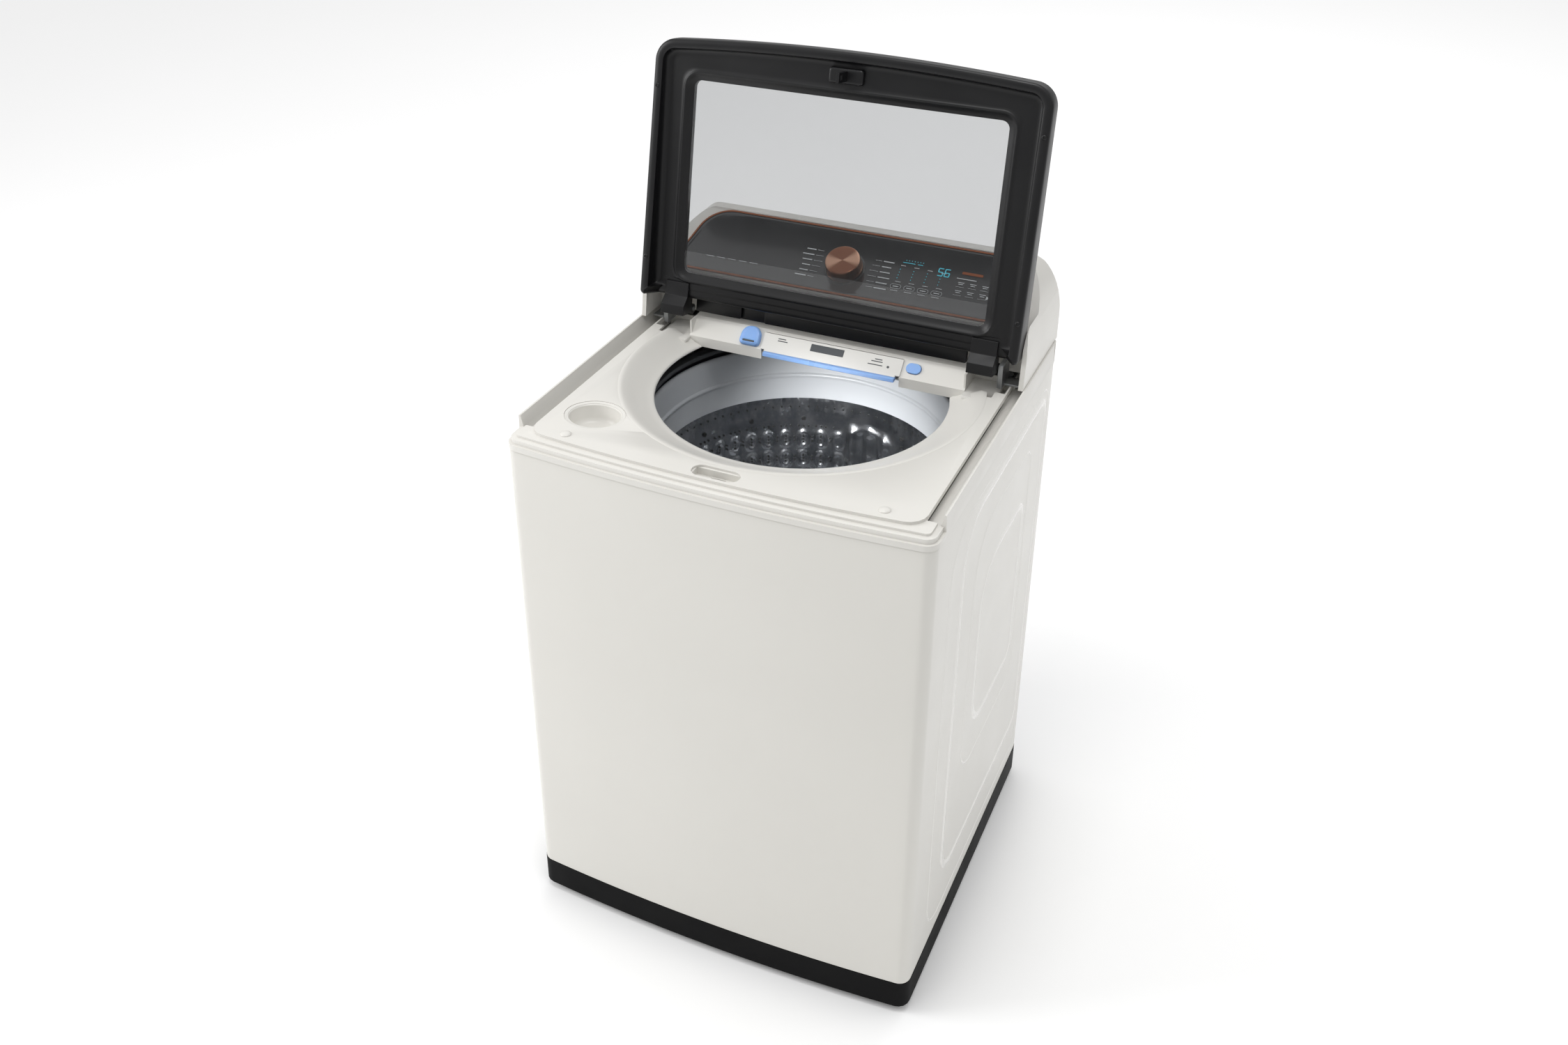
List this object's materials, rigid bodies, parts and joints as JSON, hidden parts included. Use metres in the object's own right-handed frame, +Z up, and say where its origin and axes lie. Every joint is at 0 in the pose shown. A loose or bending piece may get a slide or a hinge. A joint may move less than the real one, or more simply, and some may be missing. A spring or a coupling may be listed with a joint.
{
  "type": "top load washing machine",
  "caption": "Top load washing machine with a glass lid, rear control console, dispenser drawer, perforated steel basket and low impeller.",
  "frame": {"origin": "centre of the footprint, on the floor under the levelling feet", "axes": "+Z up, +Y towards the back, +X towards the right side seen from the front"},
  "size_m": [0.7, 0.674, 1.4565],
  "materials": {
    "ivory_paint": "painted steel sheet, semi-gloss off-white",
    "ivory_plastic": "moulded off-white plastic, semi-gloss",
    "black_plastic": "moulded satin black plastic",
    "gloss_black": "gloss black control panel",
    "copper": "spun copper-coloured metal",
    "lid_glass": "clear grey tempered glass",
    "blue_plastic": "pale blue plastic",
    "charcoal": "moulded charcoal plastic",
    "grey_plastic": "moulded silver-grey plastic",
    "stainless": "polished stainless steel",
    "zinc_steel": "zinc plated steel",
    "galvanised": "galvanised steel sheet",
    "aluminium": "die-cast aluminium",
    "winding": "laminated steel with copper windings",
    "rubber": "black rubber",
    "board": "circuit board",
    "white_plastic": "moulded white plastic"
  },
  "bodies": {
    "cabinet": {"cabinet_wrap": "ivory_paint", "back_panel": "galvanised", "base_frame": "black_plastic", "top_cover": "ivory_plastic", "bleach_cup": "ivory_plastic", "lid_lock_housing": "charcoal", "lid_bumper_left": "ivory_plastic", "lid_bumper_right": "ivory_plastic", "dispenser_housing": "ivory_plastic", "waterjet_nozzle": "blue_plastic", "console_housing": "ivory_plastic", "console_fascia": "gloss_black", "console_trim": "copper", "control_board": "board", "knob_ring": "gloss_black", "water_inlet_valve": "white_plastic", "hinge_bracket_left": "zinc_steel", "hinge_bracket_right": "zinc_steel", "suspension_rod_1": "zinc_steel", "suspension_rod_2": "zinc_steel", "suspension_rod_3": "zinc_steel", "suspension_rod_4": "zinc_steel", "drain_outlet": "rubber", "cord_gland": "rubber"},
    "tub": {"outer_tub": "white_plastic", "tub_cover": "charcoal", "bearing_housing": "aluminium", "stator": "winding", "drain_pump": "white_plastic", "suspension_spring_1": "zinc_steel", "suspension_spring_2": "zinc_steel", "suspension_spring_3": "zinc_steel", "suspension_spring_4": "zinc_steel", "drain_hose": "rubber"},
    "basket": {"basket": "stainless", "balance_ring": "grey_plastic", "basket_hub": "aluminium", "spin_shaft": "zinc_steel"},
    "impeller": {"impeller": "grey_plastic", "impeller_cap": "stainless", "wash_shaft": "zinc_steel", "rotor": "zinc_steel"},
    "lid": {"lid_frame_inner": "black_plastic", "lid_frame_outer": "black_plastic", "lid_glass": "lid_glass", "lid_strike": "black_plastic", "hinge_arm_left": "black_plastic", "hinge_arm_right": "black_plastic"},
    "knob": {"cycle_knob": "copper"},
    "drawer": {"drawer_front": "white_plastic", "drawer_grip": "blue_plastic", "drawer_tray": "white_plastic"},
    "button": {"waterjet_button": "blue_plastic"},
    "bolt": {"lid_lock_bolt": "zinc_steel"},
    "foot_front_left": {"leveling_foot_front_left": "rubber"},
    "foot_front_right": {"leveling_foot_front_right": "rubber"},
    "foot_rear_left": {"leveling_foot_rear_left": "rubber"},
    "foot_rear_right": {"leveling_foot_rear_right": "rubber"}
  },
  "joints": [
    {"name": "lid_hinge", "type": "hinge", "parent": "cabinet", "child": "lid", "pos_m": [0, 0.142, 0.985], "axis": [1, 0, 0], "range_deg": [0, 100.5]},
    {"name": "tub_travel", "type": "slide", "parent": "cabinet", "child": "tub", "axis": [0, 0, 1], "range_m": [-0.025, 0.01], "stiffness_N_per_m": 8000, "springref_m": 0.0485, "deforming": ["suspension_spring_1", "suspension_spring_2", "suspension_spring_3", "suspension_spring_4", "drain_hose"]},
    {"name": "basket_spin", "type": "hinge", "parent": "tub", "child": "basket", "pos_m": [0, 0.031, 0.5], "axis": [0, 0, 1], "continuous": true},
    {"name": "impeller_spin", "type": "hinge", "parent": "tub", "child": "impeller", "pos_m": [0, 0.031, 0.3], "axis": [0, 0, 1], "continuous": true},
    {"name": "knob_turn", "type": "hinge", "parent": "cabinet", "child": "knob", "pos_m": [-0.006, 0.23014, 1.07183], "axis": [0, -0.515, 0.8572], "continuous": true},
    {"name": "drawer_slide", "type": "slide", "parent": "cabinet", "child": "drawer", "axis": [0, -1, 0], "range_m": [0, 0.12]},
    {"name": "button_press", "type": "slide", "parent": "cabinet", "child": "button", "axis": [0, 0.7071, -0.7071], "range_m": [0, 0.003], "stiffness_N_per_m": 400, "springref_m": -0.002},
    {"name": "bolt_slide", "type": "slide", "parent": "cabinet", "child": "bolt", "axis": [1, 0, 0], "range_m": [0, 0.017]},
    {"name": "foot_front_left_height", "type": "slide", "parent": "cabinet", "child": "foot_front_left", "axis": [0, 0, -1], "range_m": [0, 0.015]},
    {"name": "foot_front_right_height", "type": "slide", "parent": "cabinet", "child": "foot_front_right", "axis": [0, 0, -1], "range_m": [0, 0.015]},
    {"name": "foot_rear_left_height", "type": "slide", "parent": "cabinet", "child": "foot_rear_left", "axis": [0, 0, -1], "range_m": [0, 0.015]},
    {"name": "foot_rear_right_height", "type": "slide", "parent": "cabinet", "child": "foot_rear_right", "axis": [0, 0, -1], "range_m": [0, 0.015]}
  ]
}
